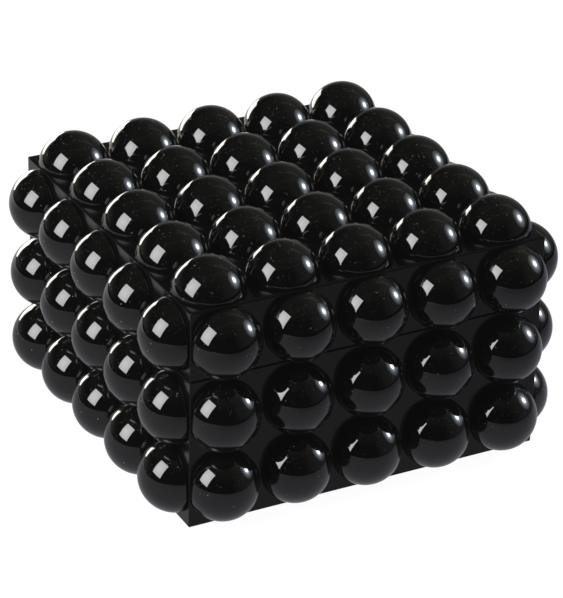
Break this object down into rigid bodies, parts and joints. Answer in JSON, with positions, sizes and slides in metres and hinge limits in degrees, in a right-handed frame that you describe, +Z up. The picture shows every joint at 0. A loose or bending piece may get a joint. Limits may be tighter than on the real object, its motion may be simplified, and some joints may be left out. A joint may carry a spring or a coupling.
{
  "type": "domed desk box",
  "caption": "Square lidded desk box in gloss black, its top and sides covered in rows of glossy half-ball domes; the lid lifts straight off.",
  "frame": {"origin": "centre of the resting face, on the underside of the felt pad", "axes": "+Z up, front of the box towards -Y, +X to the right seen from the front"},
  "size_m": [0.2352, 0.2352, 0.1382],
  "materials": {
    "black_lacquer": "high-gloss black lacquer on wooden boards",
    "black_dome_gloss": "polished gloss black half-balls, near mirror",
    "lining_fabric": "matt black short-pile cloth",
    "underside_felt": "matt black felt"
  },
  "bodies": {
    "base": {"base_floor_panel": "black_lacquer", "base_wall_front": "black_lacquer", "base_wall_right": "black_lacquer", "base_wall_back": "black_lacquer", "base_wall_left": "black_lacquer", "base_locating_strip_front": "black_lacquer", "base_locating_strip_right": "black_lacquer", "base_locating_strip_back": "black_lacquer", "base_locating_strip_left": "black_lacquer", "base_lining": "lining_fabric", "base_felt": "underside_felt", "base_dome_row_upper_front": "black_dome_gloss", "base_dome_row_upper_right": "black_dome_gloss", "base_dome_row_upper_back": "black_dome_gloss", "base_dome_row_upper_left": "black_dome_gloss", "base_dome_row_lower_front": "black_dome_gloss", "base_dome_row_lower_right": "black_dome_gloss", "base_dome_row_lower_back": "black_dome_gloss", "base_dome_row_lower_left": "black_dome_gloss"},
    "lid": {"lid_top_panel": "black_lacquer", "lid_rail_front": "black_lacquer", "lid_rail_right": "black_lacquer", "lid_rail_back": "black_lacquer", "lid_rail_left": "black_lacquer", "lid_lining": "lining_fabric", "lid_top_dome_a1": "black_dome_gloss", "lid_top_dome_a2": "black_dome_gloss", "lid_top_dome_a3": "black_dome_gloss", "lid_top_dome_a4": "black_dome_gloss", "lid_top_dome_a5": "black_dome_gloss", "lid_top_dome_b1": "black_dome_gloss", "lid_top_dome_b2": "black_dome_gloss", "lid_top_dome_b3": "black_dome_gloss", "lid_top_dome_b4": "black_dome_gloss", "lid_top_dome_b5": "black_dome_gloss", "lid_top_dome_c1": "black_dome_gloss", "lid_top_dome_c2": "black_dome_gloss", "lid_top_dome_c3": "black_dome_gloss", "lid_top_dome_c4": "black_dome_gloss", "lid_top_dome_c5": "black_dome_gloss", "lid_top_dome_d1": "black_dome_gloss", "lid_top_dome_d2": "black_dome_gloss", "lid_top_dome_d3": "black_dome_gloss", "lid_top_dome_d4": "black_dome_gloss", "lid_top_dome_d5": "black_dome_gloss", "lid_top_dome_e1": "black_dome_gloss", "lid_top_dome_e2": "black_dome_gloss", "lid_top_dome_e3": "black_dome_gloss", "lid_top_dome_e4": "black_dome_gloss", "lid_top_dome_e5": "black_dome_gloss", "lid_dome_row_front": "black_dome_gloss", "lid_dome_row_right": "black_dome_gloss", "lid_dome_row_back": "black_dome_gloss", "lid_dome_row_left": "black_dome_gloss"}
  },
  "joints": [
    {"name": "lid_lift", "type": "slide", "parent": "base", "child": "lid", "axis": [0, 0, 1], "range_m": [0, 0.12]}
  ]
}
